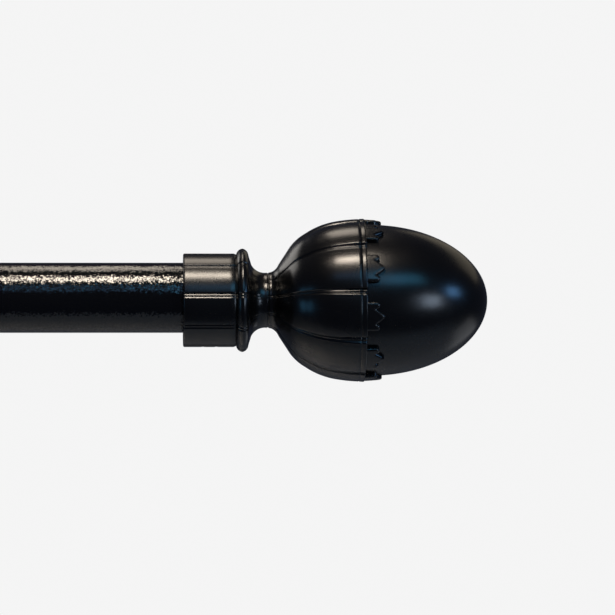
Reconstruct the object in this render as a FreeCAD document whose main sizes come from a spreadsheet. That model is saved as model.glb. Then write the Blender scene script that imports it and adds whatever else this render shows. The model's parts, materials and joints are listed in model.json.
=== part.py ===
import FreeCAD, Part
import math
import os
import Sketcher
from FreeCAD import Placement, Rotation, Vector

# A telescoping curtain rod on two adjustable wall brackets, with an acorn finial on each end.
#
# Millimetres, +Z up. The rod runs along X, with the right finial's tip towards +X. The wall is the plane
# Y = 0 and the room is on its -Y side. The origin is the middle of the right wall plate, on the wall.
# The rod and the brackets' arms are at their shortest.

SIZES = {
    # the rod: two tubes, one inside the other
    "rod_radius": 9.5,
    "rod_wall": 0.8,
    "tube_gap": 0.75,  # between the two tubes, where the bush goes
    "inner_wall": 0.8,
    "closed_length": 711.0,  # between the two finials' collars
    "overhang": 100.0,  # from a bracket's middle to the collar beside it
    "bracket_to_joint": 30.0,  # from the left bracket's middle to the thick tube's mouth
    "end_room": 22.0,  # from the thin tube's buried end to the thick tube's far end
    "slide_gap": 0.3,  # around whatever slides
    "seat_gap": 0.05,  # around whatever is pushed in and stays
    "thread_gap": 0.15,  # around a screw in its thread
    "bush_depth": 18.0,
    "bush_lip": 1.2,
    "guide_length": 16.0,
    "guide_chamfer": 1.0,
    # the brackets, from the wall outwards
    "projection": 92.0,  # wall to rod axis
    "plate_height": 76.0,
    "plate_width": 30.0,
    "plate_thickness": 3.0,
    "plate_edge": 1.0,
    "wall_hole_inset": 11.0,  # from a plate's end
    "wall_hole_radius": 2.25,
    "wall_head_radius": 4.2,
    "arm_radius": 6.0,
    "arm_chamfer": 0.8,
    "arm_rest_gap": 1.0,  # left behind the arm when it is pushed right in
    "socket_wall": 2.2,
    "socket_foot_ledge": 4.5,
    "socket_foot": 3.0,
    "socket_floor": 6.0,
    "socket_to_cradle": 7.0,
    "lock_inset": 8.0,  # from the socket's front to its thumbscrew
    "boss_radius": 5.0,
    "boss_height": 3.0,
    "cradle_wall": 3.5,
    "cradle_pad_ledge": 1.0,  # around the arm, where the cradle is pressed against it
    "cradle_screw_inset": 0.8,  # from the cradle's bore to its screw's face
    "cradle_width": 18.0,
    "cradle_seat": 1.7,  # the arm's seat stands this far behind the thick tube's cradle
    "cradle_back": 8.0,  # height of the wall behind the rod, above its axis
    "cradle_front": 3.0,
    # the screws
    "small_chamfer": 0.5,
    "thread_room": 2.0,  # a tapped hole is this much deeper than its screw
    "thumb_radius": 2.5,
    "thumb_head_radius": 6.0,
    "thumb_head": 5.0,
    "thumb_head_chamfer": 0.8,
    "thumb_neck": 1.5,
    "thumb_neck_ledge": 1.2,
    "thumb_flutes": 12.0,
    "thumb_flute_radius": 0.8,
    "thumb_flute_offset": 0.3,  # its middle lies this far outside the head
    "fixing_radius": 2.5,
    "fixing_head_radius": 4.6,
    "fixing_length": 12.0,
    "socket_screw_length": 8.0,
    "key_radius": 1.6,
    "key_depth": 1.6,
    "grub_radius": 2.0,
    "grub_key_radius": 1.1,
    # the finial's collar and neck, from the mouth
    "rod_engagement": 12.0,  # how far the rod goes in
    "finial_drop": 0.68,  # its axis hangs this far below the rod's
    "bore_gap": 0.12,  # above the rod, where it touches
    "collar_wall": 2.4,
    "collar_beyond_rod": 2.4,
    "bead_rise": 1.35,
    "bead_middle": 1.7,  # this and the next places are measured from the collar's end
    "bead_round": 1.95,
    "bead_end": 3.3,
    "bead_end_fall": 0.4,
    "step_end": 4.1,
    "step_radius": 9.7,
    "neck_radius": 7.45,
    "neck_middle": 7.8,
    "neck_round": 4.17,
    "flare_start": 11.5,
    "flare_end": 13.9,
    # the cup, whose places are also from the collar's end and whose radii are less than the rim's
    "flare_fall": 8.8,
    "shoulder_end": 18.8,
    "shoulder_fall": 4.0,
    "shoulder_round": 13.0,
    "belly_end": 26.1,
    "belly_fall": 0.9,
    "belly_round": 21.0,
    "rim": 34.8,
    "rim_round": 45.0,
    "cup_wall": 1.5,
    "core_inset": 6.0,
    "core_floor": 16.6,
    "core_floor_radius": 6.0,
    "groove_count": 9.0,
    "groove_round": 0.95,
    "groove_depth": 0.45,
    "seam_count": 10.0,
    "seam_round": 0.7,
    "seam_turn": 97.0,  # degrees from the finial's underside back to the first groove and seam
    "tab_thickness": 1.25,
    "tab_half": 4.05,
    "tab_side": 3.32,
    "tab_lobe": 0.92,
    "tab_tip": 4.7,
    "tab_point": 0.3,
    "cut_beyond": 1.0,  # how far a cut runs past what it cuts
    # the acorn and what holds it
    "knob_radius": 20.5,
    "knob_length": 31.7,  # from its widest place to its tip
    "knob_rise": 1.8,  # its widest place is this far beyond the rim
    "knob_depth": 3.2,  # it seats this far inside the rim
    "knob_gap": 0.2,
    "bolt_radius": 2.5,
    "bolt_head_radius": 4.5,
    "bolt_head": 3.0,
    "bolt_room": 1.0,  # between the rod's end and the bolt's head
    "bolt_grip": 7.0,
    "insert_radius": 4.0,
    "insert_length": 10.0,
    "insert_room": 1.0,
    "adapter_gap": 0.1,
}

ALONG_ROD_RIGHT = Rotation(Vector(0, 1, 0), 90)  # local Z to +X, local X to the underside
ALONG_ROD_LEFT = Rotation(Vector(0, 1, 0), -90).multiply(Rotation(Vector(0, 0, 1), 180))
OUT_OF_WALL = Rotation(Vector(1, 0, 0), 90)  # local Z to -Y, local Y upwards
POINTING_DOWN = Rotation(Vector(1, 0, 0), 180)  # local Z to -Z


class Size:
    """A length that carries its expression too, so what is made from it follows the sheet."""

    def __init__(self, value, text):
        self.value = value
        self.text = text

    def __add__(self, other):
        return Size(self.value + number(other), f"({self.text} + {words(other)})")

    def __sub__(self, other):
        return Size(self.value - number(other), f"({self.text} - {words(other)})")

    def __mul__(self, other):
        return Size(self.value * number(other), f"({self.text} * {words(other)})")

    def __neg__(self):
        return Size(-self.value, f"(0 - {self.text})")


def number(size):
    return size.value if isinstance(size, Size) else float(size)


def words(size):
    return size.text if isinstance(size, Size) else repr(float(size))


document = FreeCAD.newDocument("curtain_rod")
sheet = document.addObject("Spreadsheet::Sheet", "Sizes")
for row, (alias, value) in enumerate(SIZES.items(), start=1):
    sheet.set(f"A{row}", alias)
    sheet.set(f"B{row}", str(value))
    sheet.setAlias(f"B{row}", alias)
document.recompute()


class Sizes:
    """Each driving size by name."""

    def __getattr__(self, name):
        return Size(SIZES[name], f"Sizes.{name}")


s = Sizes()
ZERO = Size(0.0, "0")

# the rod
INNER_RADIUS = s.rod_radius - s.rod_wall - s.tube_gap
RIGHT_MOUTH = s.overhang
LEFT_MOUTH = s.overhang - s.closed_length
LEFT_BRACKET = LEFT_MOUTH + s.overhang
JOINT = LEFT_BRACKET + s.bracket_to_joint
RIGHT_END = RIGHT_MOUTH + s.rod_engagement
LEFT_END = LEFT_MOUTH - s.rod_engagement
BURIED_END = RIGHT_END - s.end_room

# the brackets, as heights from the wall
CRADLE_REACH = s.rod_radius + s.slide_gap + s.cradle_wall + s.cradle_seat
ARM_FRONT = s.projection - CRADLE_REACH
ARM_BACK = s.plate_thickness + s.socket_floor + s.arm_rest_gap
SOCKET_FRONT = ARM_FRONT - s.socket_to_cradle
SOCKET_RADIUS = s.arm_radius + s.slide_gap + s.socket_wall
LOCK_HEIGHT = SOCKET_FRONT - s.lock_inset

# the finial, as radii from its axis and heights from its collar's mouth
BORE_RADIUS = s.rod_radius + s.finial_drop + s.bore_gap
BORE_DEPTH = s.rod_engagement + s.bolt_room + s.bolt_head
COLLAR_RADIUS = BORE_RADIUS + s.collar_wall
COLLAR_END = s.rod_engagement + s.collar_beyond_rod
KNOB_BORE = s.knob_radius + s.knob_gap
RIM_RADIUS = KNOB_BORE + s.cup_wall
RIM = COLLAR_END + s.rim
TAB_RADIUS = KNOB_BORE + s.tab_thickness
KNOB_SEAT = RIM - s.knob_depth
GRUB_LENGTH = s.finial_drop * 2 + s.bore_gap + s.collar_wall - s.seat_gap


# ---- helpers for bodies, sketches and features ----


def bind(thing, name, size):
    thing.setExpression(name, words(size))


def new_body(name):
    body = document.addObject("PartDesign::Body", name)
    body.Label = name
    return body


def place(thing, rotation, x=ZERO, y=ZERO, z=ZERO):
    thing.Placement = Placement(Vector(number(x), number(y), number(z)), rotation)
    bind(thing, "Placement.Base.x", x)
    bind(thing, "Placement.Base.y", y)
    bind(thing, "Placement.Base.z", z)
    return thing


def origin_part(body, role):
    return next(part for part in body.Origin.OriginFeatures if part.Role == role)


def new_sketch(body, plane, lift=None, turn_axis=None, turn=None):
    """A sketch on one of the body's origin planes, lifted along its normal or turned about an axis."""
    sketch = body.newObject("Sketcher::SketchObject", body.Label + "_sketch")
    sketch.AttachmentSupport = [(origin_part(body, plane), "")]
    sketch.MapMode = "FlatFace"
    if turn is not None:
        sketch.AttachmentOffset = Placement(Vector(0, 0, 0), Rotation(turn_axis, number(turn)))
        bind(sketch, "AttachmentOffset.Rotation.Angle", turn)
    if lift is not None:
        bind(sketch, "AttachmentOffset.Base.z", lift)
    return sketch


def measure(sketch, kind, geometry, point, size):
    """Holds one coordinate of a point, with its two ends in the order that keeps the datum positive."""
    value = number(size)
    if abs(value) < 1e-9:
        axis = -2 if kind == "DistanceX" else -1
        sketch.addConstraint(Sketcher.Constraint("PointOnObject", geometry, point, axis))
        return
    ends = (-1, 1, geometry, point) if value > 0 else (geometry, point, -1, 1)
    index = sketch.addConstraint(Sketcher.Constraint(kind, *ends, abs(value)))
    bind(sketch, f"Constraints[{index}]", size if value > 0 else -size)


def arc_between(start, end, radius):
    """The shorter arc from start to end. It bulges to the right of that way, or left if radius < 0."""
    chord = end - start
    across = Vector(chord.y, -chord.x, 0).normalize()
    side = 1 if radius > 0 else -1
    rise = max(radius * radius - chord.Length**2 / 4, 0) ** 0.5
    centre = (start + end) * 0.5 - across * (side * rise)
    middle = centre + across * (side * abs(radius))
    return Part.Arc(start, middle, end)


def hold_half_circle(sketch, index, corner, start, end):
    """A half circle's centre lies between its ends, which share their x or their y."""
    if abs(start.x - end.x) < 1e-6:
        measure(sketch, "DistanceX", index, 3, corner[0])
    else:
        measure(sketch, "DistanceY", index, 3, corner[1])


def draw_outline(sketch, corners, closed=True):
    """Straight and round edges through corners (x, y) or (x, y, radius of the arc leading on)."""
    count = len(corners)
    spots = [Vector(number(c[0]), number(c[1]), 0) for c in corners]
    edges = []
    for k in range(count if closed else count - 1):
        start, end = spots[k], spots[(k + 1) % count]
        if len(corners[k]) == 2:
            index = sketch.addGeometry(Part.LineSegment(start, end), False)
            edges.append((index, 1, 2))
            continue
        size = corners[k][2]
        index = sketch.addGeometry(arc_between(start, end, number(size)), False)
        forward = sketch.getPoint(index, 1).distanceToPoint(start) < 1e-6
        edges.append((index, 1, 2) if forward else (index, 2, 1))
        if abs((end - start).Length - 2 * abs(number(size))) < 1e-6:
            hold_half_circle(sketch, index, corners[k], start, end)
            continue
        at = sketch.addConstraint(Sketcher.Constraint("Radius", index, abs(number(size))))
        bind(sketch, f"Constraints[{at}]", size if number(size) > 0 else -size)
    for k, (index, first, _) in enumerate(edges):
        measure(sketch, "DistanceX", index, first, corners[k][0])
        measure(sketch, "DistanceY", index, first, corners[k][1])
        if k or closed:
            before, _, last = edges[k - 1]
            sketch.addConstraint(Sketcher.Constraint("Coincident", before, last, index, first))
    if not closed:
        index, _, last = edges[-1]
        measure(sketch, "DistanceX", index, last, corners[-1][0])
        measure(sketch, "DistanceY", index, last, corners[-1][1])


def draw_circle(sketch, radius, x=ZERO, y=ZERO):
    centre = Vector(number(x), number(y), 0)
    index = sketch.addGeometry(Part.Circle(centre, Vector(0, 0, 1), number(radius)), False)
    measure(sketch, "DistanceX", index, 3, x)
    measure(sketch, "DistanceY", index, 3, y)
    at = sketch.addConstraint(Sketcher.Constraint("Radius", index, number(radius)))
    bind(sketch, f"Constraints[{at}]", radius)


def add_feature(body, kind, sketch, length=None, backwards=False, both_ways=False):
    feature = body.newObject("PartDesign::" + kind, f"{body.Label}_{kind}")
    feature.Profile = sketch
    if length is None:
        feature.ReferenceAxis = (sketch, ["V_Axis"])
        feature.Angle = 360
    else:
        bind(feature, "Length", length)
        feature.Reversed = backwards
        if both_ways:
            feature.SideType = "Symmetric"
    sketch.Visibility = False
    return feature


def around(body, feature, count):
    """Repeats a feature evenly round the body's Z axis."""
    pattern = body.newObject("PartDesign::PolarPattern", body.Label + "_pattern")
    pattern.Originals = [feature]
    pattern.Axis = (origin_part(body, "Z_Axis"), [""])
    pattern.Angle = 360
    bind(pattern, "Occurrences", count)
    body.Tip = pattern
    return pattern


def turned(name, corners):
    """A body of revolution about its Z axis, from an outline of (radius, height)."""
    body = new_body(name)
    sketch = new_sketch(body, "XZ_Plane")
    draw_outline(sketch, corners)
    add_feature(body, "Revolution", sketch)
    return body


def tube(name, outer, wall, length):
    body = new_body(name)
    sketch = new_sketch(body, "XY_Plane")
    draw_circle(sketch, outer)
    draw_circle(sketch, outer - wall)
    add_feature(body, "Pad", sketch, length)
    return body


# ---- screws ----


def add_key_socket(body, at, radius, depth, backwards):
    """A hexagonal socket cut into the end of a screw."""
    sketch = new_sketch(body, "XY_Plane", lift=at)
    half = radius * 0.5
    wide = radius * math.cos(math.radians(30))
    upper = [(radius, ZERO), (half, wide), (-half, wide)]
    lower = [(-radius, ZERO), (-half, -wide), (half, -wide)]
    draw_outline(sketch, upper + lower)
    add_feature(body, "Pocket", sketch, depth, backwards=backwards)


def countersunk_screw(name, length):
    """Its head is flush with Z = 0 and its shank goes up."""
    radius, head = s.fixing_radius, s.fixing_head_radius
    corners = [
        (ZERO, ZERO),
        (head, ZERO),
        (radius, head - radius),
        (radius, length - s.small_chamfer),
        (radius - s.small_chamfer, length),
        (ZERO, length),
    ]
    body = turned(name, corners)
    add_key_socket(body, ZERO, s.key_radius, s.key_depth, backwards=True)
    return body


def thumbscrew(name, reach):
    """Its tip is at Z = 0 and its fluted head starts above the boss that it goes through."""
    radius, head = s.thumb_radius, s.thumb_head_radius
    neck, low = radius + s.thumb_neck_ledge, reach + s.thumb_neck
    top = low + s.thumb_head
    chamfer = s.thumb_head_chamfer
    corners = [
        (ZERO, ZERO),
        (radius - s.small_chamfer, ZERO),
        (radius, s.small_chamfer),
        (radius, reach),
        (neck, reach + s.slide_gap),
        (neck, low),
        (head - chamfer, low),
        (head, low + chamfer),
        (head, top - chamfer),
        (head - chamfer, top),
        (ZERO, top),
    ]
    body = turned(name, corners)
    sketch = new_sketch(body, "XY_Plane", lift=low)
    draw_circle(sketch, s.thumb_flute_radius, x=head + s.thumb_flute_offset)
    flute = add_feature(body, "Pocket", sketch, s.thumb_head, backwards=True)
    around(body, flute, s.thumb_flutes)
    return body


def grub_screw(name):
    """Its tip is at Z = 0 and its socket end is up."""
    radius, chamfer = s.grub_radius, s.small_chamfer
    corners = [
        (ZERO, ZERO),
        (radius - chamfer, ZERO),
        (radius, chamfer),
        (radius, GRUB_LENGTH - chamfer),
        (radius - chamfer, GRUB_LENGTH),
        (ZERO, GRUB_LENGTH),
    ]
    body = turned(name, corners)
    add_key_socket(body, GRUB_LENGTH, s.grub_key_radius, s.key_depth, backwards=False)
    return body


# ---- wall brackets ----


def wall_plate(name):
    """A round-ended plate with two countersunk wall holes, and one from behind for the socket's screw."""
    body = new_body(name)
    half = s.plate_width * 0.5
    side = s.plate_height * 0.5 - half
    sketch = new_sketch(body, "XY_Plane")
    draw_outline(sketch, [(half, -side), (half, side, half), (-half, side), (-half, -side, half)])
    pad = add_feature(body, "Pad", sketch, s.plate_thickness)
    document.recompute()
    front = [
        f"Edge{k}"
        for k, edge in enumerate(body.Shape.Edges, start=1)
        if abs(edge.BoundBox.ZMin - SIZES["plate_thickness"]) < 1e-6
    ]
    fillet = body.newObject("PartDesign::Fillet", name + "_fillet")
    fillet.Base = (pad, front)
    bind(fillet, "Radius", s.plate_edge)
    body.Tip = fillet
    height = s.plate_height * 0.5 - s.wall_hole_inset
    add_wall_hole(body, height)
    add_wall_hole(body, -height)
    add_rear_hole(body)
    return body


def add_wall_hole(body, height):
    """A through hole, and the wider cone for the screw's head in the front face."""
    sketch = new_sketch(body, "XY_Plane")
    draw_circle(sketch, s.wall_hole_radius, y=height)
    add_feature(body, "Pocket", sketch, s.plate_thickness, backwards=True)
    cone_depth = s.wall_head_radius - s.wall_hole_radius
    low = new_sketch(body, "XY_Plane", lift=s.plate_thickness - cone_depth)
    draw_circle(low, s.wall_hole_radius, y=height)
    high = new_sketch(body, "XY_Plane", lift=s.plate_thickness)
    draw_circle(high, s.wall_head_radius, y=height)
    cone = body.newObject("PartDesign::SubtractiveLoft", body.Label + "_cone")
    cone.Profile = low
    cone.Sections = [high]


def add_rear_hole(body):
    """The socket's screw goes in from behind, with its head below the rear face."""
    head = s.fixing_head_radius + s.thread_gap
    hole = s.fixing_radius + s.thread_gap
    front = s.plate_thickness
    sketch = new_sketch(body, "XZ_Plane")
    draw_outline(sketch, [(ZERO, ZERO), (head, ZERO), (hole, head - hole), (hole, front), (ZERO, front)])
    add_feature(body, "Groove", sketch)


def arm_socket(name):
    """A turned sleeve on the plate. The arm slides in it, and a thumbscrew under it holds the arm."""
    foot = s.plate_thickness + s.socket_foot
    foot_radius = SOCKET_RADIUS + s.socket_foot_ledge
    fillet = s.socket_wall
    corners = [
        (ZERO, s.plate_thickness),
        (foot_radius, s.plate_thickness),
        (foot_radius, foot - s.plate_edge),
        (foot_radius - s.plate_edge, foot),
        (SOCKET_RADIUS + fillet, foot, -fillet),
        (SOCKET_RADIUS, foot + fillet),
        (SOCKET_RADIUS, SOCKET_FRONT - s.arm_chamfer),
        (SOCKET_RADIUS - s.arm_chamfer, SOCKET_FRONT),
        (ZERO, SOCKET_FRONT),
    ]
    body = turned(name, corners)
    boss = new_sketch(body, "XZ_Plane")
    draw_circle(boss, s.boss_radius, y=LOCK_HEIGHT)
    add_feature(body, "Pad", boss, SOCKET_RADIUS + s.boss_height)
    bore = new_sketch(body, "XY_Plane", lift=SOCKET_FRONT)
    draw_circle(bore, s.arm_radius + s.slide_gap)
    add_feature(body, "Pocket", bore, SOCKET_FRONT - s.plate_thickness - s.socket_floor)
    thread = new_sketch(body, "XZ_Plane")
    draw_circle(thread, s.thumb_radius + s.thread_gap, y=LOCK_HEIGHT)
    add_feature(body, "Pocket", thread, SOCKET_RADIUS + s.boss_height, backwards=True)
    rear = new_sketch(body, "XY_Plane", lift=s.plate_thickness)
    draw_circle(rear, s.fixing_radius + s.thread_gap)
    add_feature(body, "Pocket", rear, s.socket_floor, backwards=True)
    return body


def arm(name):
    """A round bar, tapped in front for the cradle's screw."""
    length = ARM_FRONT - ARM_BACK
    chamfer = s.arm_chamfer
    corners = [
        (ZERO, ZERO),
        (s.arm_radius - chamfer, ZERO),
        (s.arm_radius, chamfer),
        (s.arm_radius, length - chamfer),
        (s.arm_radius - chamfer, length),
        (ZERO, length),
    ]
    body = turned(name, corners)
    thread = new_sketch(body, "XY_Plane", lift=length)
    draw_circle(thread, s.fixing_radius + s.thread_gap)
    add_feature(body, "Pocket", thread, s.fixing_length + s.thread_room)
    return body


def cradle(name, tube_radius):
    """An open hook that the rod drops into. Its own Z axis points out of the wall and its Y axis up."""
    bore = tube_radius + s.slide_gap
    outside = bore + s.cradle_wall
    cap = s.cradle_wall * 0.5
    body = new_body(name)
    sketch = new_sketch(body, "YZ_Plane")
    outline = [
        (s.cradle_front, bore),
        (ZERO, bore, bore),
        (ZERO, -bore),
        (s.cradle_back, -bore, -cap),
        (s.cradle_back, -outside),
        (ZERO, -outside, -outside),
        (ZERO, outside),
        (s.cradle_front, outside, -cap),
    ]
    draw_outline(sketch, outline)
    add_feature(body, "Pad", sketch, s.cradle_width, both_ways=True)
    seat = new_sketch(body, "XY_Plane", lift=-CRADLE_REACH)
    draw_circle(seat, s.arm_radius + s.cradle_pad_ledge)
    add_feature(body, "Pad", seat, CRADLE_REACH - bore - s.cradle_wall * 0.5)
    boss = new_sketch(body, "XZ_Plane", lift=bore + s.cradle_wall * 0.5)
    draw_circle(boss, s.boss_radius)
    add_feature(body, "Pad", boss, s.cradle_wall * 0.5 + s.boss_height)
    thread = new_sketch(body, "XZ_Plane")
    draw_circle(thread, s.thumb_radius + s.thread_gap)
    add_feature(body, "Pocket", thread, outside + s.boss_height, backwards=True)
    add_cradle_hole(body, bore)
    return body


def cradle_head(bore):
    """Where the face of the cradle's countersunk screw lies, from the rod's axis back."""
    return bore + s.cradle_screw_inset


def add_cradle_hole(body, bore):
    head = s.fixing_head_radius + s.thread_gap
    hole = s.fixing_radius + s.thread_gap
    face = -cradle_head(bore)
    seat = -CRADLE_REACH
    sketch = new_sketch(body, "XZ_Plane")
    cone_end = face - head + hole
    wide = [(ZERO, ZERO), (head, ZERO), (head, face)]
    narrow = [(hole, cone_end), (hole, seat), (ZERO, seat)]
    draw_outline(sketch, wide + narrow)
    add_feature(body, "Groove", sketch)


def bracket(side, across, tube_radius):
    """All the pieces of one bracket, with its middle at X = across."""
    out = -s.projection
    place(wall_plate(f"{side}_wall_plate"), OUT_OF_WALL, x=across)
    place(arm_socket(f"{side}_arm_socket"), OUT_OF_WALL, x=across)
    socket_screw = countersunk_screw(f"{side}_socket_screw", s.socket_screw_length)
    place(socket_screw, OUT_OF_WALL, x=across)
    place(arm(f"{side}_arm"), OUT_OF_WALL, x=across, y=-ARM_BACK)
    place(cradle(f"{side}_cradle", tube_radius), OUT_OF_WALL, x=across, y=out)
    face = cradle_head(tube_radius + s.slide_gap)
    cradle_screw = countersunk_screw(f"{side}_cradle_screw", s.fixing_length)
    place(cradle_screw, OUT_OF_WALL.multiply(Rotation(Vector(1, 0, 0), 180)), x=across, y=out + face)
    arm_reach = s.slide_gap + s.socket_wall + s.boss_height - s.seat_gap
    arm_lock = thumbscrew(f"{side}_arm_thumbscrew", arm_reach)
    place(arm_lock, POINTING_DOWN, x=across, y=-LOCK_HEIGHT, z=-(s.arm_radius + s.seat_gap))
    rod_reach = s.slide_gap + s.cradle_wall + s.boss_height - s.seat_gap
    rod_lock = thumbscrew(f"{side}_cradle_thumbscrew", rod_reach)
    place(rod_lock, POINTING_DOWN, x=across, y=out, z=-(tube_radius + s.seat_gap))


# ---- the rod ----


def rod():
    """The thick tube on the right bracket, the thin one on the left, and what guides them."""
    out = -s.projection
    outer = tube("outer_tube", s.rod_radius, s.rod_wall, RIGHT_END - JOINT)
    place(outer, ALONG_ROD_RIGHT, x=JOINT, y=out)
    inner = tube("inner_tube", INNER_RADIUS, s.inner_wall, BURIED_END - LEFT_END)
    place(inner, ALONG_ROD_RIGHT, x=LEFT_END, y=out)
    place(mouth_bush(), ALONG_ROD_RIGHT, x=JOINT, y=out)
    place(guide_plug(), ALONG_ROD_RIGHT, x=BURIED_END, y=out)
    adapter_wall = s.rod_radius - INNER_RADIUS - s.adapter_gap
    adapter = tube("finial_adapter", s.rod_radius, adapter_wall, s.rod_engagement)
    place(adapter, ALONG_ROD_RIGHT, x=LEFT_END, y=out)


def mouth_bush():
    """A plastic sleeve in the thick tube's mouth, with a lip over the tube's edge."""
    bore = INNER_RADIUS + s.slide_gap
    sleeve = s.rod_radius - s.rod_wall - s.seat_gap
    lip = -s.bush_lip
    corners = [
        (bore, lip),
        (s.rod_radius - s.small_chamfer, lip),
        (s.rod_radius, lip + s.small_chamfer),
        (s.rod_radius, -s.seat_gap),
        (sleeve, -s.seat_gap),
        (sleeve, s.bush_depth),
        (bore, s.bush_depth),
    ]
    return turned("mouth_bush", corners)


def guide_plug():
    """A plastic plug in the thin tube's buried end, wide enough to centre it in the thick tube."""
    stem = INNER_RADIUS - s.inner_wall - s.seat_gap
    guide = s.rod_radius - s.rod_wall - s.slide_gap
    half = s.guide_length * 0.5
    corners = [
        (ZERO, -half),
        (stem - s.small_chamfer, -half),
        (stem, s.small_chamfer - half),
        (stem, s.seat_gap),
        (guide, s.seat_gap),
        (guide, half - s.guide_chamfer),
        (guide - s.guide_chamfer, half),
        (ZERO, half),
    ]
    return turned("guide_plug", corners)


# ---- finials ----


def collar_and_neck():
    """The outline from the collar's end over the bead and in to the neck."""
    return [
        (COLLAR_RADIUS, COLLAR_END, s.bead_round),
        (COLLAR_RADIUS + s.bead_rise, COLLAR_END + s.bead_middle, s.bead_round),
        (COLLAR_RADIUS - s.bead_end_fall, COLLAR_END + s.bead_end),
        (s.step_radius, COLLAR_END + s.step_end, -s.neck_round),
        (s.neck_radius, COLLAR_END + s.neck_middle, -s.neck_round),
    ]


def cup_outline():
    """The outline from the neck's flare to the rim."""
    return [
        (s.step_radius, COLLAR_END + s.flare_start),
        (RIM_RADIUS - s.flare_fall, COLLAR_END + s.flare_end, s.shoulder_round),
        (RIM_RADIUS - s.shoulder_fall, COLLAR_END + s.shoulder_end, s.belly_round),
        (RIM_RADIUS - s.belly_fall, COLLAR_END + s.belly_end, s.rim_round),
        (RIM_RADIUS, RIM),
    ]


def finial_base(name):
    """A casting: grooved collar, bead, neck and a seamed cup whose rim ends in three-lobed tabs."""
    hole = s.bolt_radius + s.thread_gap
    corners = [(BORE_RADIUS, ZERO), (COLLAR_RADIUS, ZERO)]
    corners += collar_and_neck()
    corners += cup_outline()
    corners += [
        (TAB_RADIUS, RIM),
        (TAB_RADIUS, RIM + s.tab_tip),
        (KNOB_BORE, RIM + s.tab_tip),
        (KNOB_BORE, KNOB_SEAT),
        (KNOB_BORE - s.core_inset, KNOB_SEAT),
        (s.core_floor_radius, COLLAR_END + s.core_floor),
        (hole, COLLAR_END + s.core_floor),
        (hole, BORE_DEPTH),
        (BORE_RADIUS, BORE_DEPTH),
    ]
    body = turned(name, corners)
    add_collar_grooves(body)
    add_cup_seams(body)
    add_tab_gaps(body)
    thread = new_sketch(body, "YZ_Plane")
    draw_circle(thread, s.grub_radius + s.thread_gap, y=COLLAR_END * 0.5)
    add_feature(body, "Pocket", thread, COLLAR_RADIUS + s.cut_beyond, backwards=True)
    return body


def add_collar_grooves(body):
    sketch = new_sketch(body, "XY_Plane", turn_axis=Vector(0, 0, -1), turn=s.seam_turn)
    draw_circle(sketch, s.groove_round, x=COLLAR_RADIUS + s.groove_round - s.groove_depth)
    groove = add_feature(body, "Pocket", sketch, COLLAR_END, backwards=True)
    around(body, groove, s.groove_count)


def add_cup_seams(body):
    """A round cutter follows the cup from the flare to past the rim."""
    path = new_sketch(body, "XZ_Plane", turn_axis=Vector(0, -1, 0), turn=s.seam_turn)
    draw_outline(path, cup_outline(), closed=False)
    section = new_sketch(body, "XY_Plane", turn_axis=Vector(0, 0, -1), turn=s.seam_turn)
    bind(section, "AttachmentOffset.Base.z", COLLAR_END + s.flare_start)
    draw_circle(section, s.seam_round, x=s.step_radius)
    seam = body.newObject("PartDesign::SubtractivePipe", body.Label + "_seam")
    seam.Profile = section
    seam.Spine = path
    around(body, seam, s.seam_count)


def add_tab_gaps(body):
    """What is left between two gaps is a tab: two rounded side lobes and a pointed middle one."""
    sketch = new_sketch(body, "YZ_Plane", turn_axis=Vector(0, -1, 0), turn=s.seam_turn)
    pitch = TAB_RADIUS * (math.pi / SIZES["seam_count"])
    side, lobe, tip = RIM + s.tab_side, s.tab_lobe, RIM + s.tab_tip
    wide, point = pitch - s.tab_half, pitch - s.tab_point
    right = [
        (wide, RIM),
        (wide, side - lobe, -lobe),
        (wide + lobe, side, -lobe),
        (wide + lobe * 2, side - lobe),
        (point, tip),
        (point, tip + s.cut_beyond),
    ]
    left = [
        (-point, tip + s.cut_beyond),
        (-point, tip),
        (-(wide + lobe * 2), side - lobe, -lobe),
        (-(wide + lobe), side, -lobe),
        (-wide, side - lobe),
        (-wide, RIM),
    ]
    draw_outline(sketch, right + left)
    gap = add_feature(body, "Pocket", sketch, RIM_RADIUS + s.cut_beyond, backwards=True)
    around(body, gap, s.seam_count)


def finial_knob(name):
    """The acorn: an ellipsoid cut flat where it seats in the cup, with a hole for its threaded insert."""
    whole = document.addObject("Part::Ellipsoid", name + "_whole")
    bind(whole, "Radius1", s.knob_length)
    bind(whole, "Radius2", s.knob_radius)
    bind(whole, "Radius3", s.knob_radius)
    whole.Angle1 = -90
    whole.Angle2 = 90
    bind(whole, "Placement.Base.z", RIM + s.knob_rise)
    below = document.addObject("Part::Cylinder", name + "_below")
    bind(below, "Radius", s.knob_radius * 2)
    bind(below, "Height", s.knob_length * 2)
    bind(below, "Placement.Base.z", KNOB_SEAT + s.seat_gap - s.knob_length * 2)
    flat = document.addObject("Part::Cut", name + "_flat")
    flat.Base = whole
    flat.Tool = below
    hole = document.addObject("Part::Cylinder", name + "_hole")
    bind(hole, "Radius", s.insert_radius + s.seat_gap)
    bind(hole, "Height", s.insert_length + s.insert_room)
    bind(hole, "Placement.Base.z", KNOB_SEAT)
    knob = document.addObject("Part::Cut", name)
    knob.Label = name
    knob.Base = flat
    knob.Tool = hole
    return knob


def finial_insert(name):
    """The brass thread in the acorn."""
    hole = s.bolt_radius + s.thread_gap
    low = KNOB_SEAT + s.seat_gap
    high = KNOB_SEAT + s.insert_length
    corners = [(hole, low), (s.insert_radius, low), (s.insert_radius, high), (hole, high)]
    return turned(name, corners)


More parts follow.
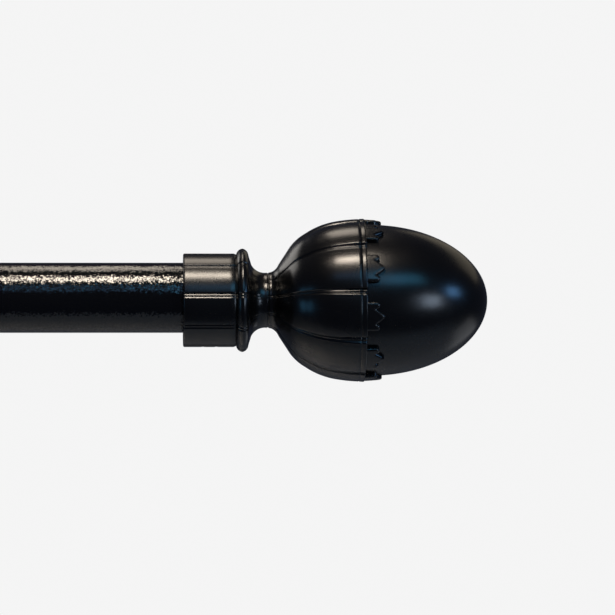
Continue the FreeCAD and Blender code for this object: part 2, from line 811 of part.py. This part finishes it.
def finial_bolt(name):
    """It goes in through the collar, with its head at the bottom of the bore, and holds the acorn on."""
    seat = BORE_DEPTH - s.seat_gap
    low = seat - s.bolt_head
    tip = KNOB_SEAT + s.bolt_grip
    corners = [
        (ZERO, low),
        (s.bolt_head_radius - s.small_chamfer, low),
        (s.bolt_head_radius, low + s.small_chamfer),
        (s.bolt_head_radius, seat),
        (s.bolt_radius, seat),
        (s.bolt_radius, tip - s.small_chamfer),
        (s.bolt_radius - s.small_chamfer, tip),
        (ZERO, tip),
    ]
    body = turned(name, corners)
    add_key_socket(body, low, s.key_radius, s.key_depth, backwards=True)
    return body


def finial(side, rotation, mouth, tip_way):
    """All the pieces of one finial, with its collar's mouth at X = mouth."""
    out = -s.projection
    low = -s.finial_drop
    pieces = (finial_base, finial_knob, finial_insert, finial_bolt)
    names = ("base", "knob", "insert", "bolt")
    for make, what in zip(pieces, names):
        place(make(f"{side}_finial_{what}"), rotation, x=mouth, y=out, z=low)
    grub = grub_screw(f"{side}_finial_grub_screw")
    across = mouth + COLLAR_END * (0.5 * tip_way)
    place(grub, POINTING_DOWN, x=across, y=out, z=-(s.rod_radius + s.seat_gap))


# ---- the whole object ----


bracket("right", ZERO, s.rod_radius)
bracket("left", LEFT_BRACKET, INNER_RADIUS)
rod()
finial("right", ALONG_ROD_RIGHT, RIGHT_MOUTH, 1)
finial("left", ALONG_ROD_LEFT, LEFT_MOUTH, -1)
document.recompute()

failed = [thing.Label for thing in document.Objects if "Invalid" in thing.State or "Error" in thing.State]
if failed:
    raise SystemExit(f"these features failed: {failed}")

SIDES = ("right", "left")
PER_SIDE = (
    "wall_plate arm_socket socket_screw arm cradle cradle_screw arm_thumbscrew cradle_thumbscrew "
    "finial_base finial_knob finial_insert finial_bolt finial_grub_screw"
).split()
NODES = ["outer_tube", "inner_tube", "mouth_bush", "guide_plug", "finial_adapter"]
NODES += [f"{side}_{name}" for side in SIDES for name in PER_SIDE]

os.makedirs("parts", exist_ok=True)
made = {thing.Label: thing for thing in document.Objects}
for name in NODES:
    shape = made[name].Shape
    if shape.isNull() or not shape.isValid() or len(shape.Solids) != 1:
        raise SystemExit(f"{name} isn't one valid solid")
for name in NODES:
    made[name].Shape.exportStep(f"parts/{name}.step")
    box = made[name].Shape.BoundBox
    print(f"{name}: {made[name].Shape.Volume:.0f} mm3, X {box.XMin:.1f} to {box.XMax:.1f}")
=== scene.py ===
import json
import math
import bpy
import numpy as np
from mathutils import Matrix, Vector


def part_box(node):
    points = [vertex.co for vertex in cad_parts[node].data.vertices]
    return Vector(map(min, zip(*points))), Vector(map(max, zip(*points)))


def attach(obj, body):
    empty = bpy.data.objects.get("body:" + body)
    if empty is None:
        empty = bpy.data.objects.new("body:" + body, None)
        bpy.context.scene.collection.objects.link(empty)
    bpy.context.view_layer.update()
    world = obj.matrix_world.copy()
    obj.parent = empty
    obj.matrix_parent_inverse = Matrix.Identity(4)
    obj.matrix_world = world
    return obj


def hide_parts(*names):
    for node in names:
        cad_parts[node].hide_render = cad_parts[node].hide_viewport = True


# The looks of a black telescoping curtain rod with acorn finials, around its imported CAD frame.
# Metres, in the CAD frame: the rod runs along X, the wall is at Y = 0 and the room on its -Y side.

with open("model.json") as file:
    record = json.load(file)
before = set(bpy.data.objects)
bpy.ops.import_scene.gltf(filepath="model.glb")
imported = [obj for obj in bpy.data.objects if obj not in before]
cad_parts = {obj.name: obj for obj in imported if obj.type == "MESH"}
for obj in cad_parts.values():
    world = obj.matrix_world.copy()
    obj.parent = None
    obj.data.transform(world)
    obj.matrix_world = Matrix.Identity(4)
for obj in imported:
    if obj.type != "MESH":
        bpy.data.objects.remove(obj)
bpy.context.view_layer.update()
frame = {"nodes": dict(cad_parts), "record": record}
NODES = frame["nodes"]
MM = 0.001

# ---- places, from the frame ----

ROD_LOW, ROD_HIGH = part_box("outer_tube")
AXIS_Y = (ROD_LOW.y + ROD_HIGH.y) / 2
AXIS_Z = (ROD_LOW.z + ROD_HIGH.z) / 2
BASE_LOW, BASE_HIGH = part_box("right_finial_base")
FINIAL_Z = (BASE_LOW.z + BASE_HIGH.z) / 2
RIGHT_MOUTH = BASE_LOW.x
LEFT_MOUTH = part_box("left_finial_base")[1].x

# ---- the rod's sizes in millimetres ----

ROD_RADIUS = 9.5
THIN_RADIUS = 7.95
TUBE_WALL = 0.8
TUBE_EDGE = 0.25  # how far the tubes' ends are broken

# ---- the finial's sizes in millimetres: places along its axis from the collar's mouth, and radii ----

BORE = 10.3
COLLAR = 12.7
COLLAR_END = 14.4
RIM_AT = 49.2
RIM = 22.2
KNOB_BORE = 20.7
KNOB = 20.5
KNOB_AT = 51.0
KNOB_LONG = 31.7
KNOB_SEAT = 46.0
BOLT_HOLE = 2.65
GRUB_AT = 7.2
GRUB_HOLE = 2.15
GRUB_CHAMFER = 0.25
TAB_RADIUS = 21.95
TAB_FLOOR = 20.35
TAB_HALF = 4.05
TAB_TIP = 4.7
NECK = (20.0, 9.0)  # the neck's thin part lies beyond this place and inside this radius
GROOVES, GROOVE_PHASE = 9, -5.2  # phases are degrees down from the side that faces the room
SEAMS, SEAM_PHASE = 10, -6.0
GROOVE_WIDTH, GROOVE_DEPTH = 1.0, 0.3
SEAM_WIDTH, SEAM_DEPTH = 0.55, 0.30
LOBE_RISE = 0.42
RING_AT, RING_WIDTH, RING_DEPTH = 23.0, 0.2, 0.24

# The section of a chased line: a steep upper side, a low ridge, and a rolled lower lip.
CHASED_AT = [-1.05, -0.9, -0.7, -0.55, -0.2, -0.05, 0.1, 0.25, 0.6, 0.75, 1.0, 1.15]
CHASED_DOWN = [0.0, 0.1, 0.85, 1.0, 0.38, 0.4, 0.64, 0.66, 0.02, -0.06, -0.02, 0.0]

# The casting's outline, out from the bore's mouth, along the outside and back through the cup. Each step
# ends at (place, radius) after a number of points. An arc bulges outwards, or inwards if its radius < 0.
CASTING_START = (0.5, BORE)
CASTING_STEPS = [
    ((0.0, BORE + 0.4), 2, None),
    ((0.0, COLLAR - 0.45), 3, None),
    ((0.45, COLLAR), 5, 0.45),
    ((COLLAR_END - 0.7, COLLAR), 10, None),
    ((COLLAR_END, COLLAR - 0.28), 4, None),
    ((16.1, 14.05), 9, 1.95),
    ((17.7, 12.3), 9, 1.95),
    ((18.5, 9.7), 5, None),
    ((22.2, 7.45), 10, -4.17),
    ((23.9, 7.66), 14, None),
    ((25.9, 9.7), 7, -3.6),
    ((28.3, 13.4), 8, None),
    ((33.2, 18.2), 12, 13.0),
    ((40.5, 21.3), 12, 21.0),
    ((RIM_AT - 1.7, 22.1), 12, 45.0),
    ((RIM_AT - 1.5, 22.0), 2, None),
    ((RIM_AT - 1.3, 22.14), 2, None),
    ((RIM_AT - 0.35, RIM), 4, None),
    ((RIM_AT, RIM - 0.35), 4, 0.35),
    ((RIM_AT, KNOB_BORE), 3, None),
    ((KNOB_SEAT, KNOB_BORE), 2, None),
    ((KNOB_SEAT, 14.7), 1, None),
    ((31.0, 6.0), 1, None),
    ((31.0, BOLT_HOLE), 1, None),
    ((16.0, BOLT_HOLE), 1, None),
    ((16.0, BORE), 1, None),
    (CASTING_START, 3, None),
]


def arc(start, end, radius, steps):
    """Points from start up to, but not with, end. The arc bulges outwards, or inwards if radius < 0."""
    (u0, r0), (u1, r1) = start, end
    du, dr = u1 - u0, r1 - r0
    chord = math.hypot(du, dr)
    side = 1 if radius > 0 else -1
    rise = math.sqrt(max(radius * radius - chord * chord / 4, 0))
    cu = (u0 + u1) / 2 + side * rise * dr / chord
    cr = (r0 + r1) / 2 - side * rise * du / chord
    a0 = math.atan2(r0 - cr, u0 - cu)
    a1 = math.atan2(r1 - cr, u1 - cu)
    turn = (a1 - a0 + math.pi) % (2 * math.pi) - math.pi
    size = abs(radius)
    angles = [a0 + turn * k / steps for k in range(steps)]
    return [(cu + size * math.cos(a), cr + size * math.sin(a)) for a in angles]


def line(start, end, steps):
    (u0, r0), (u1, r1) = start, end
    return [(u0 + (u1 - u0) * k / steps, r0 + (r1 - r0) * k / steps) for k in range(steps)]


def outline(start, steps):
    """Points from start through steps of (end, number of points, arc's radius or None)."""
    points = []
    for end, count, radius in steps:
        points += line(start, end, count) if radius is None else arc(start, end, radius, count)
        start = end
    return points


def smoothstep(low, high, x):
    t = np.clip((x - low) / (high - low), 0, 1)
    return t * t * (3 - 2 * t)


# ---- mesh helpers ----


def mesh_object(name, verts, faces, flip=False, sharp=None):
    """A smooth-shaded object from points in metres. Edges sharper than sharp degrees stay sharp."""
    mesh = bpy.data.meshes.new(name)
    mesh.from_pydata([tuple(v) for v in verts], [], faces)
    mesh.update()
    if flip:
        mesh.flip_normals()
    mesh.polygons.foreach_set("use_smooth", [True] * len(mesh.polygons))
    if sharp is not None:
        mesh.set_sharp_from_angle(angle=math.radians(sharp))
    made = bpy.data.objects.new(name, mesh)
    bpy.context.scene.collection.objects.link(made)
    return made


def grid_faces(rows, columns, close_rows):
    """Quads over a grid whose columns always close, and whose rows may."""
    faces = []
    for k in range(rows if close_rows else rows - 1):
        low, high = k * columns, ((k + 1) % rows) * columns
        for j in range(columns):
            n = (j + 1) % columns
            faces.append((low + j, low + n, high + n, high + j))
    return faces


def around_axis(u, r, angles, mouth, way, height):
    """World points for places along and radii about an X axis. Angle 0 faces the room and 90 down."""
    x = np.full(angles.shape, mouth) + way * u * MM
    y = AXIS_Y - r * MM * np.cos(angles)
    z = height - r * MM * np.sin(angles)
    return np.stack([x, y, z], axis=-1)


def even_angles(columns):
    return np.arange(columns) * (2 * math.pi / columns)


def lathe_x(name, profile, angles, mouth, way=1, height=AXIS_Z, sharp=35, dent=None):
    """Turns a closed profile of (place, radius) about the rod's or a finial's axis."""
    u = np.array([p[0] for p in profile])[:, None] * np.ones_like(angles)[None, :]
    r = np.array([p[1] for p in profile])[:, None] * np.ones_like(angles)[None, :]
    a = np.ones(len(profile))[:, None] * angles[None, :]
    if dent is not None:
        r = r - dent(u, r, a)
    points = around_axis(u, r, a, mouth, way, height).reshape(-1, 3)
    faces = grid_faces(len(profile), len(angles), True)
    return mesh_object(name, points, faces, flip=way > 0, sharp=sharp)


# ---- the finial's casting ----


def groove_gap(angle, radius, count, phase):
    """Distance in millimetres round the surface from the nearest of count grooves, positive below it."""
    pitch = 2 * math.pi / count
    off = (angle - math.radians(phase) + pitch / 2) % pitch - pitch / 2
    return off * radius


def chased(gap, width, depth):
    """How deep a chased line is at a distance from its middle."""
    return depth * np.interp(gap / width, CHASED_AT, CHASED_DOWN)


def casting_dent(u, r, a):
    """How far the casting's skin lies inside its turned profile."""
    outer = (r > 9.0) | (u > 16.5)
    outer &= (r > COLLAR - 3.2) | (u > COLLAR_END)
    outer &= u < RIM_AT + 0.4
    gap = groove_gap(a, r, GROOVES, GROOVE_PHASE)
    grooves = chased(gap, GROOVE_WIDTH, GROOVE_DEPTH) * (1 - smoothstep(18.0, 21.5, u))
    seam_gap = groove_gap(a, r, SEAMS, SEAM_PHASE)
    flare = smoothstep(38.0, RIM_AT, u)
    depth = (SEAM_DEPTH + SEAM_DEPTH * flare) * smoothstep(22.2, 26.5, u)
    width = SEAM_WIDTH + 0.4 * smoothstep(26.0, 38.0, u) + 0.35 * flare
    seams = chased(seam_gap, width, depth)
    pitch = 2 * math.pi / SEAMS
    swell = (1 - np.clip(np.abs(seam_gap) / r / (pitch / 2), 0, 1)) ** 2.2
    lobes = LOBE_RISE * swell * smoothstep(24.0, 34.0, u)
    neck = (r < NECK[1]) * (u > NECK[0])
    ring = RING_DEPTH * np.exp(-(((u - RING_AT) / RING_WIDTH) ** 2)) * neck
    return np.where(outer, np.maximum(grooves + seams + lobes, 0), 0) + ring


def casting_angles():
    """Directions round the casting, closer together where its grooves and seams are."""
    fine = np.linspace(0, 2 * math.pi, 7201)[:-1]
    near = np.ones_like(fine)
    lines = ((GROOVES, GROOVE_PHASE, 3.2, 4.6), (SEAMS, SEAM_PHASE, 3.6, 3.6))
    for count, phase, closeness, reach in lines:
        near += closeness * np.exp(-((groove_gap(fine, 1.0, count, phase) / math.radians(reach)) ** 4))
    total = np.cumsum(near)
    wanted = np.arange(600) / 600 * total[-1]
    return np.interp(wanted, total, fine)


def tab_edge(v):
    """How far a tab reaches beyond the rim at v millimetres from its middle line."""
    v = abs(v)
    waist, waist_reach, lobe, lobe_middle, lobe_reach = 2.1, 2.35, 0.92, 3.13, 2.4
    if v < waist:
        return waist_reach + (TAB_TIP - waist_reach) * (1 - (v / waist) ** 1.35)
    return lobe_reach + math.sqrt(max(lobe**2 - (v - lobe_middle) ** 2, 0.01))


def tab_mesh(angle, mouth, way):
    """Points and faces of one tab: a curved shield with rolled edges, standing proud of the acorn."""
    start, edge, roll, lean = -1.1, 0.7, 0.5, 0.06
    across = [TAB_HALF * math.sin(math.pi / 2 * k / 26) for k in range(-26, 27)]
    steps = [0, 0.2, 0.4, 0.55, 0.66, 0.75, 0.81, 0.86, 0.9, 0.93, 0.955, 0.975, 0.99, 1.0]
    rim = [(v, tab_edge(v)) for v in np.linspace(-TAB_HALF, TAB_HALF, 321)]
    rim += [(s * TAB_HALF, t) for s in (-1, 1) for t in np.linspace(start - 2, 2.5, 80)]
    rim = np.array(rim)
    top = []
    for t in steps:
        for v in across:
            u = start + (tab_edge(v) - start) * t
            near = min(float(np.min(np.hypot(rim[:, 0] - v, rim[:, 1] - u))), edge)
            drop = roll * (1 - math.sqrt(1 - (1 - near / edge) ** 2))
            r = TAB_RADIUS - drop - lean * max(u, 0)
            top.append((RIM_AT + u, r, angle + v / TAB_RADIUS))
    columns = len(across)
    rows = len(steps)
    ring = list(range(columns))
    ring += [k * columns + columns - 1 for k in range(1, rows)]
    ring += [(rows - 1) * columns + j for j in range(columns - 2, -1, -1)]
    ring += [k * columns for k in range(rows - 2, 0, -1)]
    low = [(top[k][0], TAB_FLOOR, top[k][2]) for k in ring]
    faces = []
    for k in range(rows - 1):
        for j in range(columns - 1):
            a = k * columns + j
            faces.append((a, a + 1, a + 1 + columns, a + columns))
    first = len(top)
    for k in range(len(ring)):
        n = (k + 1) % len(ring)
        faces.append((ring[n], ring[k], first + k, first + n))
    faces.append(tuple(first + k for k in range(len(ring))))
    spots = np.array(top + low)
    points = around_axis(spots[:, 0], spots[:, 1], spots[:, 2], mouth, way, FINIAL_Z)
    return points, faces


def drill_grub_hole(made, mouth, way):
    """Cuts the grub screw's hole, with a small chamfer, up through the collar's underside."""
    inside, beyond = 9.4, 1
    rings = [(-inside, GRUB_HOLE), (-(COLLAR - GRUB_CHAMFER), GRUB_HOLE)]
    rings.append((-(COLLAR + beyond), GRUB_HOLE + GRUB_CHAMFER + beyond))
    columns = 48
    points = []
    for z, r in rings:
        for k in range(columns):
            a = 2 * math.pi * k / columns
            x = mouth + way * GRUB_AT * MM + r * MM * math.cos(a)
            points.append((x, AXIS_Y + r * MM * math.sin(a), FINIAL_Z + z * MM))
    faces = grid_faces(len(rings), columns, False)
    faces.append(tuple(range(columns - 1, -1, -1)))
    faces.append(tuple(range(2 * columns, 3 * columns)))
    drill = mesh_object("grub_drill", points, faces, flip=True)
    cut = made.modifiers.new("grub_hole", "BOOLEAN")
    cut.object, cut.operation, cut.solver = drill, "DIFFERENCE", "EXACT"
    bpy.context.view_layer.update()
    shown = made.evaluated_get(bpy.context.evaluated_depsgraph_get())
    drilled = bpy.data.meshes.new_from_object(shown)
    made.modifiers.clear()
    made.data = drilled
    drilled.set_sharp_from_angle(angle=math.radians(50))
    bpy.data.objects.remove(drill)


def casting(side, mouth, way):
    """The collar, neck and cup as one skin, with its ten tabs joined on."""
    name = f"{side}_finial_casting"
    profile = outline(CASTING_START, CASTING_STEPS)
    made = lathe_x(name, profile, casting_angles(), mouth, way, FINIAL_Z, sharp=50, dent=casting_dent)
    drill_grub_hole(made, mouth, way)
    parts = [made]
    for k in range(SEAMS):
        angle = math.radians(SEAM_PHASE + (k + 0.5) * 360 / SEAMS)
        points, faces = tab_mesh(angle, mouth, way)
        parts.append(mesh_object(f"{name}_tab", points, faces, flip=way < 0, sharp=40))
    with bpy.context.temp_override(active_object=made, selected_editable_objects=parts):
        bpy.ops.object.join()
    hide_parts(f"{side}_finial_base")
    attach(made, f"{side}_finial")
    return made


def acorn(side, mouth, way):
    """The smooth acorn, an ellipsoid with a flat seat inside the cup."""
    rows, columns = 110, 192
    start = math.asin((KNOB_SEAT - KNOB_AT) / KNOB_LONG)
    angles = even_angles(columns)
    points = []
    for k in range(rows):
        lat = start + (math.pi / 2 - start) * (1 - (1 - k / rows) ** 1.35)
        u = np.full(columns, KNOB_AT + KNOB_LONG * math.sin(lat))
        r = np.full(columns, KNOB * math.cos(lat))
        points.append(around_axis(u, r, angles, mouth, way, FINIAL_Z))
    points = list(np.concatenate(points))
    tip = np.array([KNOB_AT + KNOB_LONG])
    points.append(around_axis(tip, np.zeros(1), np.zeros(1), mouth, way, FINIAL_Z)[0])
    faces = grid_faces(rows, columns, False)
    last = (rows - 1) * columns
    faces += [(last + j, last + (j + 1) % columns, len(points) - 1) for j in range(columns)]
    faces.append(tuple(range(columns - 1, -1, -1)))
    made = mesh_object(f"{side}_finial_acorn", points, faces, flip=way > 0, sharp=50)
    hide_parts(f"{side}_finial_knob")
    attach(made, f"{side}_finial")
    return made


# ---- the rod ----


def tube(node, radius, body):
    """A drawn tube with softly broken ends."""
    low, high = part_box(node)
    length = (high.x - low.x) / MM
    inside = radius - TUBE_WALL
    start = (0, inside + TUBE_EDGE)
    steps = [
        ((0, radius - TUBE_EDGE), 2, None),
        ((TUBE_EDGE, radius), 4, TUBE_EDGE),
        ((length - TUBE_EDGE, radius), 24, None),
        ((length, radius - TUBE_EDGE), 4, TUBE_EDGE),
        ((length, inside + TUBE_EDGE), 2, None),
        ((length - TUBE_EDGE, inside), 1, None),
        ((TUBE_EDGE, inside), 24, None),
        (start, 1, None),
    ]
    made = lathe_x(node + "_skin", outline(start, steps), even_angles(160), low.x)
    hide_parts(node)
    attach(made, body)
    return made


# ---- materials ----


def new_material(name, colour, roughness, metallic=0.0):
    """A material with its node tree and its shader."""
    material = bpy.data.materials.new(name)
    material.use_nodes = True
    shader = material.node_tree.nodes["Principled BSDF"]
    shader.inputs["Base Color"].default_value = (*colour, 1)
    shader.inputs["Roughness"].default_value = roughness
    shader.inputs["Metallic"].default_value = metallic
    return material, material.node_tree, shader


def add(tree, kind, **settings):
    """A new node, with settings for its inputs by name or else for itself."""
    node = tree.nodes.new(kind)
    for key, value in settings.items():
        if key in node.inputs:
            node.inputs[key].default_value = value
        else:
            setattr(node, key, value)
    return node


def pattern(tree, kind, output, **settings):
    """The output of a noise or cell pattern laid over the object in metres."""
    where = add(tree, "ShaderNodeTexCoord")
    made = add(tree, kind, **settings)
    tree.links.new(where.outputs["Object"], made.inputs["Vector"])
    return made.outputs[output]


def noise(tree, scale, detail=3.0):
    return pattern(tree, "ShaderNodeTexNoise", "Fac", Scale=scale, Detail=detail, Roughness=0.5)


def vary_roughness(tree, shader, value, low, high):
    """Maps a noise value onto a range of roughness."""
    made = add(tree, "ShaderNodeMapRange")
    made.inputs["From Min"].default_value = 0.3
    made.inputs["From Max"].default_value = 0.7
    made.inputs["To Min"].default_value = low
    made.inputs["To Max"].default_value = high
    tree.links.new(value, made.inputs["Value"])
    tree.links.new(made.outputs["Result"], shader.inputs["Roughness"])


def vary_colour(tree, shader, value, first, second):
    """Mixes two base colours by a noise value."""
    made = add(tree, "ShaderNodeMix", data_type="RGBA")
    for socket in made.inputs:
        if socket.name == "A" and socket.type == "RGBA":
            socket.default_value = (*first, 1)
        if socket.name == "B" and socket.type == "RGBA":
            socket.default_value = (*second, 1)
    tree.links.new(value, made.inputs["Factor"])
    mixed = next(o for o in made.outputs if o.type == "RGBA")
    tree.links.new(mixed, shader.inputs["Base Color"])


def bump(tree, shader, layers):
    """Stacks bumps of (height, distance in metres, strength)."""
    last = None
    for height, distance, strength in layers:
        made = add(tree, "ShaderNodeBump", Strength=strength, Distance=distance)
        tree.links.new(height, made.inputs["Height"])
        if last is not None:
            tree.links.new(last.outputs["Normal"], made.inputs["Normal"])
        last = made
    tree.links.new(last.outputs["Normal"], shader.inputs["Normal"])


def enamel():
    """Smooth semi-gloss black enamel over a casting: faint orange peel and uneven gloss."""
    material, tree, shader = new_material("black_enamel", (0.002, 0.002, 0.002), 0.26)
    cloud = noise(tree, 60.0)
    peel = noise(tree, 900.0, detail=2.0)
    swell = noise(tree, 130.0, detail=1.0)
    vary_colour(tree, shader, cloud, (0.0012, 0.0012, 0.0013), (0.0028, 0.0027, 0.0027))
    vary_roughness(tree, shader, cloud, 0.23, 0.29)
    bump(tree, shader, [(swell, 0.00004, 0.6), (peel, 0.000012, 0.6)])
    return material


def lean_grains(tree, shader, grain, lean):
    """Leans each grain of a coat its own way, so that single grains catch a light."""
    cells = pattern(tree, "ShaderNodeTexVoronoi", "Color", Scale=grain)
    tilt = add(tree, "ShaderNodeVectorMath", operation="MULTIPLY_ADD")
    tree.links.new(cells, tilt.inputs[0])
    tilt.inputs[1].default_value = (2 * lean, 2 * lean, 2 * lean)
    tilt.inputs[2].default_value = (-lean, -lean, -lean)
    tilted = add(tree, "ShaderNodeVectorMath", operation="ADD")
    tree.links.new(shader.inputs["Normal"].links[0].from_socket, tilted.inputs[0])
    tree.links.new(tilt.outputs["Vector"], tilted.inputs[1])
    unit = add(tree, "ShaderNodeVectorMath", operation="NORMALIZE")
    tree.links.new(tilted.outputs["Vector"], unit.inputs[0])
    tree.links.new(unit.outputs["Vector"], shader.inputs["Normal"])


def powder_coat(name, colour, roughness, grain, rise, lean):
    """Textured black powder coat: a fine pebble that sparkles in the highlights."""
    material, tree, shader = new_material(name, colour, roughness)
    cloud = noise(tree, 45.0)
    pebble = noise(tree, grain, detail=1.0)
    vary_colour(tree, shader, pebble, colour, tuple(c * 1.7 for c in colour))
    vary_roughness(tree, shader, cloud, roughness - 0.04, roughness + 0.05)
    bump(tree, shader, [(pebble, rise, 1.0)])
    lean_grains(tree, shader, grain * 1.4, lean)
    return material


def bright_metal(name, colour, roughness, scale):
    """Plated or turned metal with fine uneven marks."""
    material, tree, shader = new_material(name, colour, roughness, metallic=1.0)
    marks = noise(tree, scale, detail=4.0)
    vary_colour(tree, shader, marks, tuple(c * 0.75 for c in colour), colour)
    vary_roughness(tree, shader, marks, roughness - 0.06, roughness + 0.1)
    bump(tree, shader, [(marks, 0.00002, 0.5)])
    return material


def nylon():
    """Moulded black nylon with a matt grain."""
    material, tree, shader = new_material("black_nylon", (0.02, 0.02, 0.021), 0.5)
    grain = noise(tree, 1800.0)
    vary_colour(tree, shader, grain, (0.016, 0.016, 0.017), (0.03, 0.03, 0.031))
    vary_roughness(tree, shader, grain, 0.42, 0.55)
    bump(tree, shader, [(grain, 0.00002, 0.5)])
    return material


def dress(thing, material):
    thing.data.materials.clear()
    thing.data.materials.append(material)


# ---- the object ----

ENAMEL = enamel()
ROD_COAT = powder_coat("rod_powder_coat", (0.002, 0.002, 0.0022), 0.14, 2200.0, 0.00002, 0.09)
BRACKET_COAT = powder_coat("bracket_powder_coat", (0.003, 0.003, 0.0032), 0.3, 1700.0, 0.00008, 0.08)
SCREW_BLACK = bright_metal("black_oxide", (0.09, 0.09, 0.095), 0.36, 700.0)
SCREW_STEEL = bright_metal("zinc_plate", (0.62, 0.62, 0.6), 0.3, 500.0)
BRASS = bright_metal("turned_brass", (0.72, 0.53, 0.25), 0.3, 500.0)
NYLON = nylon()

for side, mouth, way in (("right", RIGHT_MOUTH, 1), ("left", LEFT_MOUTH, -1)):
    dress(casting(side, mouth, way), ENAMEL)
    dress(acorn(side, mouth, way), ENAMEL)

dress(tube("outer_tube", ROD_RADIUS, "thick_rod"), ROD_COAT)
dress(tube("inner_tube", THIN_RADIUS, "thin_rod"), ROD_COAT)

SLOT_MATERIALS = {
    "rod_coat": ROD_COAT,
    "bracket_coat": BRACKET_COAT,
    "finial_enamel": ENAMEL,
    "screw_steel": SCREW_STEEL,
    "screw_black": SCREW_BLACK,
    "black_nylon": NYLON,
    "insert_brass": BRASS,
}
for subpart in frame["record"]["subparts"]:
    node = NODES[subpart["node"]]
    for place in node.material_slots:
        place.material = SLOT_MATERIALS[subpart["material_slot"]]


# ---- stage, lights and camera ----


def floor():
    """A plain pale floor well below the rod. It glows for the camera, which keeps it pale all over."""
    mesh = bpy.data.meshes.new("floor")
    near, far, side, depth = -0.75, 3.5, 3.5, -1.0
    corners = [(-side, near, depth), (side, near, depth), (side, far, depth), (-side, far, depth)]
    mesh.from_pydata(corners, [], [(0, 1, 2, 3)])
    made = bpy.data.objects.new("floor", mesh)
    bpy.context.scene.collection.objects.link(made)
    material, tree, shader = new_material("floor_paint", (0.8, 0.8, 0.8), 0.9)
    vary_colour(tree, shader, noise(tree, 3.0), (0.78, 0.78, 0.78), (0.82, 0.82, 0.82))
    path = add(tree, "ShaderNodeLightPath")
    tree.links.new(path.outputs["Is Camera Ray"], shader.inputs["Emission Strength"])
    shader.inputs["Emission Color"].default_value = (0.62, 0.62, 0.62, 1)
    dress(made, material)


def softbox(name, direction, distance, width, height, radiance, colour, shift=0.0, beam=180):
    """An area lamp that faces the right finial from a direction, then slides along the rod by shift."""
    lamp = bpy.data.lights.new(name, "AREA")
    lamp.shape = "RECTANGLE"
    lamp.size, lamp.size_y = width, height
    lamp.energy = radiance * math.pi * width * height
    lamp.color = colour
    lamp.spread = math.radians(beam)
    made = bpy.data.objects.new(name, lamp)
    towards = Vector(direction).normalized()
    made.location = AIM + towards * distance + Vector((shift, 0, 0))
    made.rotation_mode = "QUATERNION"
    made.rotation_quaternion = towards.to_track_quat("Z", "Y")
    made.visible_camera = False
    bpy.context.scene.collection.objects.link(made)


def level(azimuth, elevation):
    """A direction from the finial: azimuth 0 is towards the camera and 90 along the rod's free end."""
    a, e = math.radians(azimuth), math.radians(elevation)
    return (math.sin(a) * math.cos(e), -math.cos(a) * math.cos(e), math.sin(e))


AIM = Vector((RIGHT_MOUTH + 35 * MM, AXIS_Y, FINIAL_Z))
floor()
WARM, WARM_BACK = (1.0, 0.87, 0.72), (1.0, 0.88, 0.74)
FINIAL_SHIFT, ROD_SHIFT = -0.058, -0.62
softbox("overhead_front", level(0, 63.5), 0.55, 0.17, 0.115, 35.0, WARM, FINIAL_SHIFT)
softbox("overhead_back", level(180, 68), 0.55, 0.17, 0.2, 4.8, WARM_BACK, FINIAL_SHIFT)
softbox("overhead_front_left", level(0, 64.5), 0.55, 0.8, 0.14, 4.5, WARM, ROD_SHIFT, beam=50)
softbox("overhead_back_left", level(180, 71), 0.55, 0.8, 0.2, 0.9, WARM_BACK, ROD_SHIFT, beam=50)
softbox("window_wide", level(0, 32), 1.6, 1.2, 0.34, 0.9, (0.28, 0.56, 1.0))
softbox("window_front", level(24, 32), 1.6, 0.85, 0.42, 2.3, (0.13, 0.6, 1.0))
softbox("window_right", level(67, 12), 1.4, 0.3, 0.3, 8.0, (0.2, 0.5, 1.0))
softbox("window_level", level(44, -1), 1.5, 0.38, 0.42, 6.4, (0.65, 0.8, 1.0))
softbox("fill_left", level(-66, -3), 1.4, 0.45, 0.4, 1.3, (0.16, 0.57, 1.0))
softbox("warm_back", level(140, 30), 1.5, 1.3, 0.6, 0.42, (1.0, 0.87, 0.62))
softbox("rear_left", level(225, 28), 2.0, 1.5, 0.8, 2.0, (1.0, 0.96, 0.9), -0.25)
softbox("bounce_right", level(118, -32), 1.3, 0.9, 0.5, 0.55, (0.95, 0.97, 1.0))

world = bpy.data.worlds.new("studio")
bpy.context.scene.world = world
world.use_nodes = True
tree = world.node_tree
tree.nodes.clear()
seen = add(tree, "ShaderNodeBackground", Strength=1.0)
seen.inputs["Color"].default_value = (0.91, 0.91, 0.91, 1)
lit = add(tree, "ShaderNodeBackground", Strength=1.0)
lit.inputs["Color"].default_value = (0.03, 0.035, 0.055, 1)
path = add(tree, "ShaderNodeLightPath")
choose = add(tree, "ShaderNodeMixShader")
output = add(tree, "ShaderNodeOutputWorld")
tree.links.new(path.outputs["Is Camera Ray"], choose.inputs["Fac"])
tree.links.new(lit.outputs["Background"], choose.inputs[1])
tree.links.new(seen.outputs["Background"], choose.inputs[2])
tree.links.new(choose.outputs["Shader"], output.inputs["Surface"])

# The camera stands level with the rod, level with the finial's collar along it, and looks slightly right.
FIELD = 167.1 * MM  # width of the view at the rod
DISTANCE = 1.24
SENSOR = 36
camera_data = bpy.data.cameras.new("camera")
camera = bpy.data.objects.new("camera", camera_data)
bpy.context.scene.collection.objects.link(camera)
bpy.context.scene.camera = camera
target = Vector((RIGHT_MOUTH + 33.8 * MM, AXIS_Y, FINIAL_Z - 1.96 * MM))
camera.location = (RIGHT_MOUTH - 12 * MM, AXIS_Y - DISTANCE, target.z)
camera.rotation_mode = "QUATERNION"
camera.rotation_quaternion = (target - camera.location).to_track_quat("-Z", "Y")
camera_data.sensor_width = SENSOR
camera_data.lens = SENSOR * (target - camera.location).length / FIELD
camera_data.clip_start = 0.01

bpy.context.scene.view_settings.view_transform = "Standard"
